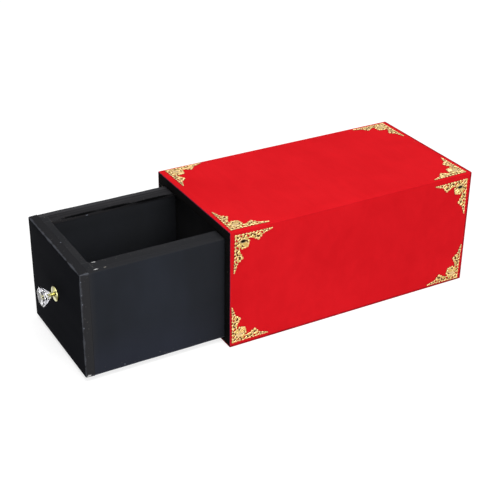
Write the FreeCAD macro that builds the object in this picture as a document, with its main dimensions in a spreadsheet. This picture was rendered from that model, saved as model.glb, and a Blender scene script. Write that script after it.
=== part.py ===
# Magician's drawer box: a flock-covered case, a pull-out show drawer with a lipped rim, and a
# hidden inner drawer that nests inside the show drawer and can be held back by a catch.
# Frame: origin at the middle of the case's underside, drawer front towards -Y, top towards +Z.
# Lengths are in millimetres. The show drawer stands open by "opening", the inner one is held back.

import FreeCAD, Part
import math
import os
import re
from FreeCAD import Vector
import Sketcher

doc = FreeCAD.newDocument("drawer_box")
sheet = doc.addObject("Spreadsheet::Sheet", "sizes")

driving_sizes = {
    # case
    "case_width": 136, "case_length": 250, "case_height": 111,
    "board": 8.5, "floor_board": 3, "covering": 0.8, "covering_round": 1.2,
    # running gaps between case and show drawer
    "side_gap": 1.5, "top_gap": 0.7, "floor_gap": 0.3, "back_gap": 2.2,
    # show drawer
    "opening": 128, "front_board": 8, "side_board": 6.3, "show_floor": 2.5,
    "lip_width": 10.3, "front_lip_width": 6.5, "lip_depth": 4, "worn_round": 2.2, "fine_round": 0.4,
    # inner drawer and its gaps inside the show drawer
    "inner_board": 5, "inner_floor": 2.5, "inner_setback": 1.0,
    "nest_gap": 0.5, "nest_floor_gap": 0.3, "nest_front_gap": 0.2, "lip_gap": 0.4,
    # knob and its screw
    "knob_height": 54.9, "knob_foot": 13.8, "knob_waist": 3.4, "knob_cup": 7.4,
    "foot_edge": 1.1, "waist_reach": 3.4, "cup_reach": 5.8, "socket": 4, "socket_depth": 1.4,
    "crystal_width": 17.8, "crystal_table": 13.6, "girdle_reach": 12.6, "girdle_edge": 0.6,
    "knob_reach": 14.2, "crystal_sides": 8,
    "screw": 2.5, "screw_head": 5, "screw_play": 0.1, "screw_bite": 3.2,
    # nails and brads
    "nail": 1.4, "nail_length": 20, "nail_end": 25,
    "brad": 1.2, "brad_length": 12, "brad_start": 35.5, "brad_end": 22.5, "brad_height": 22,
    # catch in the case floor
    "peg_setback": 18, "peg_reach": 60, "flap_tail": 3, "flap_width": 12, "flap_plate": 0.8,
    "flap_cut": 0.3, "peg": 4, "peg_spigot": 2.4, "peg_sink": 0.2, "peg_round": 0.5,
    "peg_play": 1.2, "notch_play": 1.5, "notch_lead": 35,
    # stamped corner ornaments
    "ornament_leg": 36.3, "ornament_inset": 3.9, "ornament_relief": 0.9,
}
# How far each stamped corner was glued off its place by hand: millimetres away from the case's end,
# millimetres away from the face's other edge, and degrees turned from the lengthwise leg to the other.
hand_set = {
    "top_front_left": (1.5, -1.3, -0.4), "top_front_right": (-1.5, -0.3, -1.8),
    "top_rear_left": (1.0, -0.3, -0.4), "top_rear_right": (0.5, -1.9, -0.6),
    "right_front_upper": (0, -1.3, 1.6), "right_front_lower": (-2.4, -0.3, 0.6),
    "right_rear_upper": (0.4, 0.8, 0.8), "right_rear_lower": (-0.2, -2.5, 1.6),
    "left_front_upper": (0, 0, 0), "left_front_lower": (0, 0, 0),
    "left_rear_upper": (0, 0, 0), "left_rear_lower": (0, 0, 0),
}
for corner_name, offsets in hand_set.items():
    for way, offset in zip(("lengthwise", "crosswise", "turn"), offsets):
        driving_sizes[f"{corner_name}_{way}"] = offset
for row, (alias, number) in enumerate(driving_sizes.items(), start=1):
    sheet.set(f"A{row}", alias)
    sheet.set(f"B{row}", str(number))
    sheet.setAlias(f"B{row}", alias)

# Places worked out from the driving sizes. "side" is a distance from the middle plane x = 0.
places = {
    "case_front": "-case_length / 2",
    "case_back": "case_length / 2",
    "case_side": "case_width / 2",
    "wood_side": "case_side - covering",
    "wood_back": "case_back - covering",
    "wood_top": "case_height - covering",
    "hollow_side": "wood_side - board",
    "hollow_back": "wood_back - board",
    "hollow_top": "wood_top - board",
    "hollow_low": "covering + floor_board",
    "show_side": "hollow_side - side_gap",
    "show_top": "hollow_top - top_gap",
    "show_low": "hollow_low + floor_gap",
    "show_front": "case_front - opening",
    "show_rear": "hollow_back - back_gap - opening",
    "room_side": "show_side - side_board",
    "room_front": "show_front + front_board",
    "room_low": "show_low + show_floor",
    "lip_side": "room_side - lip_width",
    "lip_low": "show_top - lip_depth",
    "front_lip_rear": "room_front + front_lip_width",
    "inner_side": "room_side - nest_gap",
    "inner_low": "room_low + nest_floor_gap",
    "inner_top": "lip_low - lip_gap",
    "inner_front": "case_front + front_board + nest_front_gap",
    "inner_rear": "hollow_back - back_gap - inner_setback",
    "tray_side": "inner_side - inner_board",
    "tray_front": "inner_front + inner_board",
    "tray_rear": "inner_rear - inner_board",
    "tray_low": "inner_low + inner_floor",
    "brad_pitch": "(show_rear - show_front - brad_start - brad_end) / 3",
    "flap_side": "flap_width / 2",
    "peg_place": "tray_rear - peg_setback",
    "catch_hinge": "peg_place - peg_reach",
    "flap_end": "peg_place + flap_tail",
    "notch_start": "peg_place - notch_lead - opening",
}


def formula(text):
    """Spells a formula of size and place names out in spreadsheet cells."""
    def spelled(match):
        word = match.group()
        if word in driving_sizes:
            return "sizes." + word
        if word in places:
            return "(" + formula(places[word]) + ")"
        return word
    return re.sub(r"[a-z_]+", spelled, str(text))


def number(text):
    """The present value of a formula, for shapes that are set in code."""
    return float(sheet.evalExpression(formula(text)))


def bind(thing, **formulas):
    for name, text in formulas.items():
        thing.setExpression(name.replace("__", "."), formula(text))


def bind_corner(thing, x, y, z):
    bind(thing, Placement__Base__x=x, Placement__Base__y=y, Placement__Base__z=z)


def origin_plane(body, role):
    return next(item for item in body.Origin.OriginFeatures if item.Role == role)


def new_sketch(body, name, plane):
    sketch = body.newObject("Sketcher::SketchObject", name)
    sketch.AttachmentSupport = [(origin_plane(body, plane), "")]
    sketch.MapMode = "FlatFace"
    return sketch


def draw_outline(sketch, points):
    """A closed outline of straight sides. Each corner's two coordinates are bound to formulas."""
    corners = [Vector(number(x), number(y), 0) for x, y in points]
    count = len(corners)
    for here in range(count):
        sketch.addGeometry(Part.LineSegment(corners[here], corners[(here + 1) % count]), False)
    for here in range(count):
        sketch.addConstraint(Sketcher.Constraint("Coincident", here, 2, (here + 1) % count, 1))
    for here, (x, y) in enumerate(points):
        for kind, text in (("DistanceX", x), ("DistanceY", y)):
            place = number(text)
            if abs(place) < 1e-9:
                axis = -2 if kind == "DistanceX" else -1
                sketch.addConstraint(Sketcher.Constraint("PointOnObject", here, 1, axis))
                continue
            index = sketch.addConstraint(Sketcher.Constraint(kind, -1, 1, here, 1, place))
            sketch.setExpression(f"Constraints[{index}]", formula(text))


def edges_on(shape, sides):
    """Names of the straight edges of a box that lie on two of its outer faces, such as '+x+z'."""
    box = shape.BoundBox
    faces = {"+x": box.XMax, "-x": box.XMin, "+y": box.YMax, "-y": box.YMin,
             "+z": box.ZMax, "-z": box.ZMin}
    names = []
    for place, edge in enumerate(shape.Edges, start=1):
        middle = edge.BoundBox.Center
        span = {"x": edge.BoundBox.XLength, "y": edge.BoundBox.YLength, "z": edge.BoundBox.ZLength}
        for pair in sides:
            wanted = [pair[:2], pair[2:]]
            if all(abs(getattr(middle, side[1]) - faces[side]) < 1e-6 and span[side[1]] < 1e-6
                   for side in wanted):
                names.append(f"Edge{place}")
    return names


def round_edges(body, feature, sides, radius):
    doc.recompute()
    names = edges_on(feature.Shape, sides)
    if len(names) != len(sides):
        raise RuntimeError(f"{body.Label}: {len(names)} of {len(sides)} edges found")
    fillet = body.newObject("PartDesign::Fillet", feature.Name + "_round")
    fillet.Base = (feature, names)
    bind(fillet, Radius=radius)
    return fillet


def board(label, across, along, upright, rounds=()):
    """A flat board as a body: each of its three spans is a pair of formulas, low then high."""
    body = doc.addObject("PartDesign::Body", label)
    sketch = new_sketch(body, label + "_outline", "XY_Plane")
    width = f"({across[1]}) - ({across[0]})"
    length = f"({along[1]}) - ({along[0]})"
    draw_outline(sketch, [("0", "0"), (width, "0"), (width, length), ("0", length)])
    pad = body.newObject("PartDesign::Pad", label + "_pad")
    pad.Profile = sketch
    bind(pad, Length=f"({upright[1]}) - ({upright[0]})")
    feature = pad
    for sides, radius in rounds:
        feature = round_edges(body, feature, sides, radius)
    body.Tip = feature
    bind_corner(body, across[0], along[0], upright[0])
    return body


def rod(name, diameter, length, x, y, z, turn=None):
    """A round rod from a point, upright unless it is turned to lie along X or Y."""
    cylinder = doc.addObject("Part::Cylinder", name)
    bind(cylinder, Radius=f"({diameter}) / 2", Height=length)
    if turn:
        axis, angle = turn
        cylinder.Placement.Rotation = FreeCAD.Rotation(axis, angle)
    bind_corner(cylinder, x, y, z)
    return cylinder


def block(name, across, along, upright):
    box = doc.addObject("Part::Box", name)
    bind(box, Length=f"({across[1]}) - ({across[0]})", Width=f"({along[1]}) - ({along[0]})",
         Height=f"({upright[1]}) - ({upright[0]})")
    bind_corner(box, across[0], along[0], upright[0])
    return box


def group(name, parts):
    compound = doc.addObject("Part::Compound", name)
    compound.Links = parts
    return compound


def cut(base, tools, name=None):
    """Takes the tools out of a blank. The result has the piece's name, the blank loses it."""
    label = name or base.Label
    base.Label = label + "_blank"
    result = base
    for place, tool in enumerate(tools, start=1):
        stage = doc.addObject("Part::Cut", f"{label}_cut_{place}")
        stage.Base = result
        stage.Tool = tool
        result = stage
    result.Label = label
    return result


to_left = (Vector(0, 1, 0), -90)
to_right = (Vector(0, 1, 0), 90)
to_rear = (Vector(1, 0, 0), -90)
to_front = (Vector(1, 0, 0), 90)
mirrored = {"left": "-", "right": "+"}
pieces = []


def keep(piece):
    pieces.append(piece)
    return piece


def side_span(side, near, far):
    """A span on one side of the middle plane, low then high."""
    if side == "right":
        return (near, far)
    return (f"-({far})", f"-({near})")


# ---- case: five boards, nails, and the flocked covering ----

def build_case():
    whole_depth = ("case_front", "wood_back")
    full_width = ("-wood_side", "wood_side")
    front_rounds = [(["-y-z"], "fine_round")]
    nails = []
    for side, sign in mirrored.items():
        x = f"{sign}(hollow_side + board / 2)"
        for row in range(4):
            y = f"case_front + nail_end + {row} * (case_length - 2 * nail_end) / 3"
            nails.append(rod(f"top_nail_{side}_{row}", "nail", "nail_length", x, y,
                             "wood_top - nail_length"))
            nails.append(rod(f"floor_nail_{side}_{row}", "nail", "nail_length", x, y, "covering"))
    nail_group = keep(group("case_nails", nails))

    window = block("catch_window", ("-flap_side - flap_cut", "flap_side + flap_cut"),
                   ("catch_hinge", "flap_end + flap_cut"), ("-covering", "hollow_low + covering"))
    top = board("case_top_panel", full_width, whole_depth, ("hollow_top", "wood_top"), front_rounds)
    keep(cut(top, [nail_group]))
    floor = board("case_floor_panel", full_width, whole_depth, ("covering", "hollow_low"),
                  [(["-y+z"], "fine_round")])
    keep(cut(floor, [nail_group, window]))
    keep(board("case_back_panel", ("-hollow_side", "hollow_side"), ("hollow_back", "wood_back"),
               ("hollow_low", "hollow_top")))
    for side in mirrored:
        inward = "-x-y" if side == "right" else "+x-y"
        panel = board(f"case_{side}_panel", side_span(side, "hollow_side", "wood_side"),
                      whole_depth, ("hollow_low", "hollow_top"), [([inward], "fine_round")])
        keep(cut(panel, [nail_group]))

    wrap = doc.addObject("PartDesign::Body", "covering_wrap")
    sketch = new_sketch(wrap, "wrap_outline", "XZ_Plane")
    draw_outline(sketch, [("-case_side", "0"), ("-wood_side", "0"), ("-wood_side", "wood_top"),
                          ("wood_side", "wood_top"), ("wood_side", "0"), ("case_side", "0"),
                          ("case_side", "case_height"), ("-case_side", "case_height")])
    pad = wrap.newObject("PartDesign::Pad", "wrap_pad")
    pad.Profile = sketch
    pad.Midplane = True
    bind(pad, Length="case_length")
    wrap.Tip = round_edges(wrap, pad, ["-x+z", "+x+z"], "covering_round")
    keep(wrap)
    keep(board("covering_back", full_width, ("wood_back", "case_back"), ("0", "wood_top")))
    keep(cut(board("covering_floor", full_width, whole_depth, ("0", "covering")), [window]))


# ---- catch: a plate hinged on the covering under the case floor, with a peg ----

def build_catch():
    outline = (("-flap_side", "flap_side"), ("catch_hinge + flap_cut / 2", "flap_end"))
    spigot = rod("spigot_hole", "peg_spigot", "flap_plate", "0", "peg_place", "covering")
    plate = board("catch_flap", *outline, ("covering", "covering + flap_plate"))
    keep(cut(plate, [spigot]))
    keep(board("catch_flap_covering", *outline, ("0", "covering")))
    peg = doc.addObject("PartDesign::Body", "catch_peg")
    sketch = new_sketch(peg, "peg_profile", "XZ_Plane")
    draw_outline(sketch, [("0", "covering"), ("peg_spigot / 2", "covering"),
                          ("peg_spigot / 2", "covering + flap_plate"),
                          ("peg / 2", "covering + flap_plate"),
                          ("peg / 2", "hollow_low - peg_sink - peg_round"),
                          ("peg / 2 - peg_round", "hollow_low - peg_sink"),
                          ("0", "hollow_low - peg_sink")])
    turned = peg.newObject("PartDesign::Revolution", "peg_turned")
    turned.Profile = sketch
    turned.ReferenceAxis = (sketch, ["V_Axis"])
    turned.Angle = 360
    peg.Tip = turned
    bind_corner(peg, "0", "peg_place", "0")
    keep(peg)


# ---- show drawer: front board, sides, floor, inward lips, brads ----

def build_show_drawer():
    whole_height = ("show_low", "show_top")
    run = ("room_front", "show_rear")
    brads = []
    for side in mirrored:
        start, turn = ("show_side", to_left) if side == "right" else ("-show_side", to_right)
        for row in range(4):
            brads.append(rod(f"floor_brad_{side}_{row}", "brad", "brad_length", start,
                             f"show_front + brad_start + {row} * brad_pitch",
                             "show_low + show_floor / 2", turn))
    brad_group = keep(group("show_brads", brads))

    shank = rod("knob_screw_hole", "screw + 2 * screw_play", "front_board", "0", "show_front", "knob_height",
                to_rear)
    sink = doc.addObject("Part::Cone", "knob_screw_sink")
    bind(sink, Radius1="screw_head / 2", Radius2="0", Height="screw_head / 2")
    sink.Placement.Rotation = FreeCAD.Rotation(*to_front)
    bind_corner(sink, "0", "room_front", "knob_height")
    front = board("show_front_panel", ("-show_side", "show_side"), ("show_front", "room_front"),
                  whole_height, [(["-y+z", "+x-y", "-x-y", "-y-z"], "fine_round * 2"),
                                 (["+y+z"], "fine_round")])
    keep(cut(front, [shank, sink]))

    for side in mirrored:
        outward, inward = ("+x+z", "-x+z") if side == "right" else ("-x+z", "+x+z")
        low_edge = "+x-z" if side == "right" else "-x-z"
        panel = board(f"show_{side}_panel", side_span(side, "room_side", "show_side"), run,
                      whole_height, [([outward], "worn_round"), ([low_edge, inward], "fine_round")])
        keep(cut(panel, [brad_group]))
        lip_rounds = [(["-x+z", "+x+z", "-x-z" if side == "right" else "+x-z"], "fine_round")]
        keep(board(f"show_{side}_lip", side_span(side, "lip_side", "room_side"),
                   ("front_lip_rear", "show_rear"), ("lip_low", "show_top"), lip_rounds))
    keep(board("show_front_lip", ("-room_side", "room_side"), ("room_front", "front_lip_rear"),
               ("lip_low", "show_top"), [(["-y+z", "+y+z", "+y-z"], "fine_round")]))

    notch = block("peg_notch", ("-flap_side - notch_play", "flap_side + notch_play"),
                  ("notch_start", "show_rear + notch_play"),
                  ("show_low - notch_play", "room_low + notch_play"))
    bottom = board("show_floor_panel", ("-room_side", "room_side"), run, ("show_low", "room_low"))
    keep(cut(bottom, [brad_group, notch]))


# ---- knob: turned foot, cut crystal, screw from inside ----

def turned_body(label, points):
    """A body turned about the knob's axis. Points are radius and distance out from the panel."""
    body = doc.addObject("PartDesign::Body", label)
    sketch = new_sketch(body, label + "_profile", "XY_Plane")
    draw_outline(sketch, [(radius, f"-({reach})") for radius, reach in points])
    turned = body.newObject("PartDesign::Revolution", label + "_turned")
    turned.Profile = sketch
    turned.ReferenceAxis = (sketch, ["V_Axis"])
    turned.Angle = 360
    body.Tip = turned
    bind_corner(body, "0", "show_front", "knob_height")
    return body


def build_knob():
    # The foot's trumpet is two arcs, so its section is drawn in code and turned whole.
    foot, waist, cup = number("knob_foot / 2"), number("knob_waist / 2"), number("knob_cup / 2")
    edge, neck, rim = number("foot_edge"), number("waist_reach"), number("cup_reach")
    bore, bite = number("screw / 2"), number("screw_bite")
    socket, sunk = number("socket / 2"), number("cup_reach - socket_depth")

    def at(radius, reach):
        return Vector(radius, -reach, 0)

    def hollow(start, end, bulge):
        """A point a little inside the chord of two points, towards the axis."""
        middle = (start + end) * 0.5
        return Vector(middle.x - bulge, middle.y, 0)

    low, narrow, high = at(foot, edge), at(waist, neck), at(cup, rim - edge)
    corners = [at(bore, 0), at(foot, 0), low]
    outline = [Part.LineSegment(a, b).toShape() for a, b in zip(corners, corners[1:])]
    outline.append(Part.Arc(low, hollow(low, narrow, (foot - waist) / 5), narrow).toShape())
    outline.append(Part.Arc(narrow, hollow(narrow, high, (cup - waist) / 5), high).toShape())
    corners = [high, at(cup, rim), at(socket, rim), at(socket, sunk), at(0, sunk), at(0, bite),
               at(bore, bite), at(bore, 0)]
    outline += [Part.LineSegment(a, b).toShape() for a, b in zip(corners, corners[1:])]
    section = Part.Face(Part.Wire(outline))
    foot_piece = doc.addObject("Part::Feature", "knob_foot_piece")
    foot_piece.Label = "knob_foot"
    foot_piece.Shape = section.revolve(Vector(0, 0, 0), Vector(0, 1, 0), 360)
    foot_piece.Placement.Base = Vector(0, number("show_front"), number("knob_height"))
    keep(foot_piece)

    rings = [("knob_cup / 2", "cup_reach"), ("crystal_width / 2", "girdle_reach"),
             ("crystal_width / 2", "girdle_reach + girdle_edge"),
             ("crystal_table / 2", "knob_reach")]
    outlines = []
    for place, (radius, reach) in enumerate(rings):
        ring = doc.addObject("Part::RegularPolygon", f"crystal_ring_{place}")
        ring.Placement.Rotation = FreeCAD.Rotation(*to_front)
        bind(ring, Polygon="crystal_sides", Circumradius=radius)
        bind_corner(ring, "0", f"show_front - ({reach})", "knob_height")
        outlines.append(ring)
    faceted = doc.addObject("Part::Loft", "crystal_facets")
    faceted.Sections = outlines
    faceted.Solid = True
    faceted.Ruled = True
    stem = rod("crystal_stem", "socket", "socket_depth + girdle_edge", "0",
               "show_front - cup_reach + socket_depth", "knob_height", to_front)
    crystal = doc.addObject("Part::Fuse", "knob_crystal")
    crystal.Base = faceted
    crystal.Tool = stem
    keep(crystal)

    keep(turned_body("knob_screw", [
        ("0", "-front_board"), ("screw_head / 2", "-front_board"),
        ("screw / 2", "-front_board + (screw_head - screw) / 2"), ("screw / 2", "screw_bite"),
        ("0", "screw_bite")]))


# ---- inner drawer: a plain tray that hides under the show drawer's lips ----

def build_inner_drawer():
    height = ("inner_low", "inner_top")
    brads = []
    for side, sign in mirrored.items():
        x = f"{sign}(inner_side - inner_board / 2)"
        for level, z in (("low", "inner_low + brad_height"), ("high", "inner_top - brad_height")):
            brads.append(rod(f"front_brad_{side}_{level}", "brad", "brad_length", x,
                             "inner_front", z, to_rear))
            brads.append(rod(f"back_brad_{side}_{level}", "brad", "brad_length", x,
                             "inner_rear", z, to_front))
    brad_group = keep(group("inner_brads", brads))
    width = ("-inner_side", "inner_side")
    ends = {"front": ("inner_front", "tray_front"), "back": ("tray_rear", "inner_rear")}
    for end, along in ends.items():
        panel = board(f"inner_{end}_panel", width, along, height,
                      [(["-y+z", "+y+z"], "fine_round")])
        keep(cut(panel, [brad_group]))
    for side in mirrored:
        panel = board(f"inner_{side}_panel", side_span(side, "tray_side", "inner_side"),
                      ("tray_front", "tray_rear"), height, [(["-x+z", "+x+z"], "fine_round")])
        keep(cut(panel, [brad_group]))
    socket = rod("peg_socket", "peg + 2 * peg_play", "inner_floor", "0", "peg_place", "inner_low")
    bottom = board("inner_floor_panel", ("-tray_side", "tray_side"), ("tray_front", "tray_rear"),
                   ("inner_low", "tray_low"))
    keep(cut(bottom, [socket]))


# ---- stamped scrollwork corners on the case's top and sides ----

# Half of the ornament's inner outline, as shares of the leg: the end of each lobe and its crown,
# from the leg's tip to the leaf's tip on the diagonal. The other half is its mirror image.
leg_tip = (1.0, 0.0)
lobes = [
    ((0.86, 0.085), (0.94, 0.075)), ((0.74, 0.115), (0.80, 0.135)),
    ((0.50, 0.175), (0.655, 0.25)), ((0.42, 0.215), (0.465, 0.215)),
    ((0.38, 0.38), (0.415, 0.31)),
]
# Round openings, each a centre and a radius. The first list is on both legs, the second on the leaf.
leg_holes = [(0.84, 0.045, 0.020), (0.73, 0.060, 0.026), (0.62, 0.135, 0.034),
             (0.58, 0.055, 0.024), (0.43, 0.085, 0.036), (0.28, 0.070, 0.030)]
leaf_holes = [(0.10, 0.10, 0.032), (0.22, 0.22, 0.030)]


def flipped(point):
    return (point[1], point[0])


def ornament_face():
    """The flat outline of a corner ornament: its corner at 0,0 and its legs along +X and +Y."""
    leg = number("ornament_leg")

    def at(point):
        return Vector(point[0] * leg, point[1] * leg, 0)

    starts = [leg_tip] + [end for end, crown in lobes]
    arcs = [(start, crown, end) for start, (end, crown) in zip(starts, lobes)]
    arcs += [tuple(flipped(point) for point in reversed(arc)) for arc in reversed(arcs)]
    edges = [Part.Arc(*[at(point) for point in arc]).toShape() for arc in arcs]
    for start, end in ((flipped(leg_tip), (0, 0)), ((0, 0), leg_tip)):
        edges.append(Part.LineSegment(at(start), at(end)).toShape())
    face = Part.Face(Part.Wire(edges))
    holes = leg_holes + [(y, x, radius) for x, y, radius in leg_holes] + leaf_holes
    for x, y, radius in holes:
        circle = Part.Circle(at((x, y)), Vector(0, 0, 1), radius * leg)
        face = face.cut(Part.Face(Part.Wire(circle.toShape())))
    return face


def build_ornaments():
    relief = number("ornament_relief")
    plate = ornament_face().extrude(Vector(0, 0, relief))
    inset = number("ornament_inset")
    side, top = number("case_side"), number("case_height")
    ends = {"front": -1, "rear": 1}
    half = number("case_length / 2")
    for end, forward in ends.items():
        y = forward * (half - inset)
        along = Vector(0, -forward, 0)
        for hand, sign in (("left", -1), ("right", 1)):
            across = Vector(-sign, 0, 0)
            place_ornament(plate, f"top_{end}_{hand}", along, across,
                           Vector(sign * (side - inset), y, top), Vector(0, 0, 1))
            for level, z, upright in (("upper", top - inset, -1), ("lower", inset, 1)):
                place_ornament(plate, f"{hand}_{end}_{level}", along,
                               Vector(0, 0, upright), Vector(sign * side, y, z),
                               Vector(sign, 0, 0))


def place_ornament(plate, where, first_leg, second_leg, corner, outward):
    """Lays an ornament on a face. Swapping the legs keeps it unmirrored, as it is symmetric."""
    corner = (corner + first_leg * number(f"{where}_lengthwise")
              + second_leg * number(f"{where}_crosswise"))
    angle = number(f"{where}_turn")
    if first_leg.cross(second_leg).dot(outward) < 0:
        first_leg, second_leg, angle = second_leg, first_leg, -angle
    turn = (FreeCAD.Rotation(outward, angle)
            * FreeCAD.Rotation(first_leg, second_leg, outward, "XYZ"))
    ornament = doc.addObject("Part::Feature", f"ornament_{where}")
    ornament.Shape = plate
    ornament.Placement = FreeCAD.Placement(corner, turn)
    keep(ornament)


doc.recompute()
build_case()
build_catch()
build_show_drawer()
build_knob()
build_inner_drawer()
build_ornaments()
doc.recompute()

failed = [item.Label for item in doc.Objects if "Invalid" in item.State or "Error" in item.State]
if failed:
    raise RuntimeError("failed objects: " + ", ".join(failed))
os.makedirs("parts", exist_ok=True)
for piece in pieces:
    if piece.Shape.isNull() or not piece.Shape.isValid():
        raise RuntimeError("bad shape: " + piece.Label)
    piece.Shape.exportStep(f"parts/{piece.Label}.step")
    solids = len(piece.Shape.Solids)
    print(f"{piece.Label}: {solids} solid(s), {piece.Shape.Volume:.0f} mm3")
lift = number("inner_low - covering - flap_plate")
turn = math.degrees(lift / number("peg_reach + flap_tail"))
print(f"{len(pieces)} nodes; the catch flap has room to turn {turn:.2f} degrees")
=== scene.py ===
import math

import bmesh
import bpy
import numpy as np
from mathutils import Matrix, Vector


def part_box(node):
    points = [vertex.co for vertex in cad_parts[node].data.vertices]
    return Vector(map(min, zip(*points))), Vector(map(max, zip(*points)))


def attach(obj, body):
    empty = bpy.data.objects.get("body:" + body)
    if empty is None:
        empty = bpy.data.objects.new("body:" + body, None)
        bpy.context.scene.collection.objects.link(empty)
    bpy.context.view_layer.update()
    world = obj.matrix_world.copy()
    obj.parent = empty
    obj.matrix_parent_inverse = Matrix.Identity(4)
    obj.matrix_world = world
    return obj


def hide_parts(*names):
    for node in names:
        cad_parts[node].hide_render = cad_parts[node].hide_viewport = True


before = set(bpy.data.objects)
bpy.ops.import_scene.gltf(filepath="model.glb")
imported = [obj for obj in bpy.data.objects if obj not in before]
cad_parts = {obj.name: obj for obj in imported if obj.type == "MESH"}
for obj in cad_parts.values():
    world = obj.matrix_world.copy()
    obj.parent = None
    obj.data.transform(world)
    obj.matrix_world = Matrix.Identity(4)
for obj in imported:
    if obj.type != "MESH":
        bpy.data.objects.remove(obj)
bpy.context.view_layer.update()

mm = 0.001
weldReach = 1e-6         # points nearer than this, in metres, become one
leastReach = 1e-5        # keeps a division from zero
print("frame loaded:", len(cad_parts), "nodes")


def gridFaces(rows, columns, ring=False):
    # quads between neighbours of a grid of rows by columns, whose columns may close into a ring
    down = np.arange(rows - 1)[:, None]
    across = np.arange(columns if ring else columns - 1)[None, :]
    nextDown, nextAcross = down + 1, (across + 1) % columns
    quads = [down * columns + across, down * columns + nextAcross,
             nextDown * columns + nextAcross, nextDown * columns + across]
    return np.stack(quads, -1).reshape(-1, 4)


def joinedName(first, *words):
    return first + "".join(word.capitalize() for word in words)


def dress(piece, material):
    piece.data.materials.clear()
    piece.data.materials.append(material)


def makePiece(name, points, faces, material, body, replaced, sharpDegrees, weld=0.0,
              facetTurn=0.0):
    # Normals are turned outwards, and edges sharper than the given angle stay sharp. With facetTurn, the
    # points' convex hull gives the faces, and those that turn less than that make one flat facet.
    mesh = bpy.data.meshes.new(name)
    mesh.from_pydata(np.asarray(points, float).reshape(-1, 3).tolist(), [], [list(f) for f in faces])
    work = bmesh.new()
    work.from_mesh(mesh)
    if weld:
        bmesh.ops.remove_doubles(work, verts=work.verts, dist=weld)
        bmesh.ops.dissolve_degenerate(work, edges=work.edges, dist=weld / 2)
    if facetTurn:
        bmesh.ops.convex_hull(work, input=work.verts)
        bmesh.ops.dissolve_limit(work, angle_limit=facetTurn, verts=work.verts, edges=work.edges)
    bmesh.ops.recalc_face_normals(work, faces=work.faces)
    work.to_mesh(mesh)
    work.free()
    mesh.polygons.foreach_set("use_smooth", [True] * len(mesh.polygons))
    mesh.set_sharp_from_angle(angle=math.radians(sharpDegrees))
    piece = bpy.data.objects.new(name, mesh)
    bpy.context.scene.collection.objects.link(piece)
    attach(piece, body)
    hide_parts(*replaced)
    dress(piece, material)
    return piece


def screen(red, green, blue):
    # a colour picked on screen, 0 to 255, as the linear colour that a shader takes
    shares = np.array([red, green, blue]) / 255
    linear = np.where(shares < 0.04045, shares / 12.92, ((shares + 0.055) / 1.055) ** 2.4)
    return (*linear.tolist(), 1.0)


def putIn(tree, socket, value):
    if isinstance(value, bpy.types.NodeSocket):
        tree.links.new(value, socket)
    else:
        socket.default_value = value


def addNode(tree, kind, values=None, **settings):
    # values go into the sockets by label or by number, as numbers or as links
    node = tree.nodes.new("ShaderNode" + kind)
    for name, setting in settings.items():
        setattr(node, name, setting)
    for label, value in (values or {}).items():
        putIn(tree, node.inputs[label], value)
    return node


def calc(tree, operation, *values, clamp=False):
    node = addNode(tree, "Math", dict(enumerate(values)), operation=operation, use_clamp=clamp)
    return node.outputs[0]


def times(tree, first, second):
    return calc(tree, "MULTIPLY", first, second)


def vectorCalc(tree, operation, *values):
    node = addNode(tree, "VectorMath", dict(enumerate(values)), operation=operation)
    return node.outputs["Value" if operation == "LENGTH" else "Vector"]


def noise(tree, place, scale, detail=3.0, roughness=0.55, distortion=0.0):
    return addNode(tree, "TexNoise", {"Vector": place, "Scale": scale, "Detail": detail,
                                      "Roughness": roughness, "Distortion": distortion}).outputs["Fac"]


def stretched(tree, place, stretch, **settings):
    # noise drawn out along the axes on which the stretch is small
    return noise(tree, vectorCalc(tree, "MULTIPLY", place, stretch), 1.0, **settings)


def remap(tree, value, low, high, toLow=0.0, toHigh=1.0):
    return addNode(tree, "MapRange", {"Value": value, "From Min": low, "From Max": high,
                                      "To Min": toLow, "To Max": toHigh}, clamp=True).outputs["Result"]


def weighted(tree, first, second, share):
    # a share of the first and the rest of the second
    return calc(tree, "ADD", times(tree, first, share), times(tree, second, 1 - share))


def blendColour(tree, share, first, second):
    return addNode(tree, "Mix", {0: share, 6: first, 7: second}, data_type="RGBA").outputs[2]


def newGroup(name, inputs):
    # a shared effect, which takes the place on the object and the named inputs
    tree = bpy.data.node_groups.new(name, "ShaderNodeTree")
    for label, value in {"Place": (0.0, 0.0, 0.0), **inputs}.items():
        kind = "NodeSocketVector" if isinstance(value, tuple) else "NodeSocketFloat"
        tree.interface.new_socket(label, in_out="INPUT", socket_type=kind).default_value = value
    given = tree.nodes.new("NodeGroupInput").outputs
    return tree, given, given["Place"]


def endGroup(tree, results):
    for label in results:
        tree.interface.new_socket(label, in_out="OUTPUT", socket_type="NodeSocketFloat")
    ending = tree.nodes.new("NodeGroupOutput").inputs
    for label, value in results.items():
        tree.links.new(value, ending[label])
    return tree


def useGroup(tree, group, values):
    return addNode(tree, "Group", values, node_tree=group).outputs


def newMaterial(name):
    material = bpy.data.materials.new(name)
    material.use_nodes = True
    tree = material.node_tree
    shader = tree.nodes["Principled BSDF"]
    place = addNode(tree, "TexCoord").outputs["Object"]
    return material, tree, shader, place


def finishShader(tree, shader, look, colour, roughness=None, height=None):
    # plain numbers stand on the shader's own sockets, and what changes over the surface is linked
    for label, value in look["plain"].items():
        shader.inputs[label].default_value = value
    putIn(tree, shader.inputs["Base Color"], colour)
    if roughness is not None:
        putIn(tree, shader.inputs["Roughness"], roughness)
    if height is not None:
        depth, strength = look["bump"]
        bump = addNode(tree, "Bump", {"Height": height, "Distance": depth, "Strength": strength})
        tree.links.new(bump.outputs["Normal"], shader.inputs["Normal"])


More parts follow.
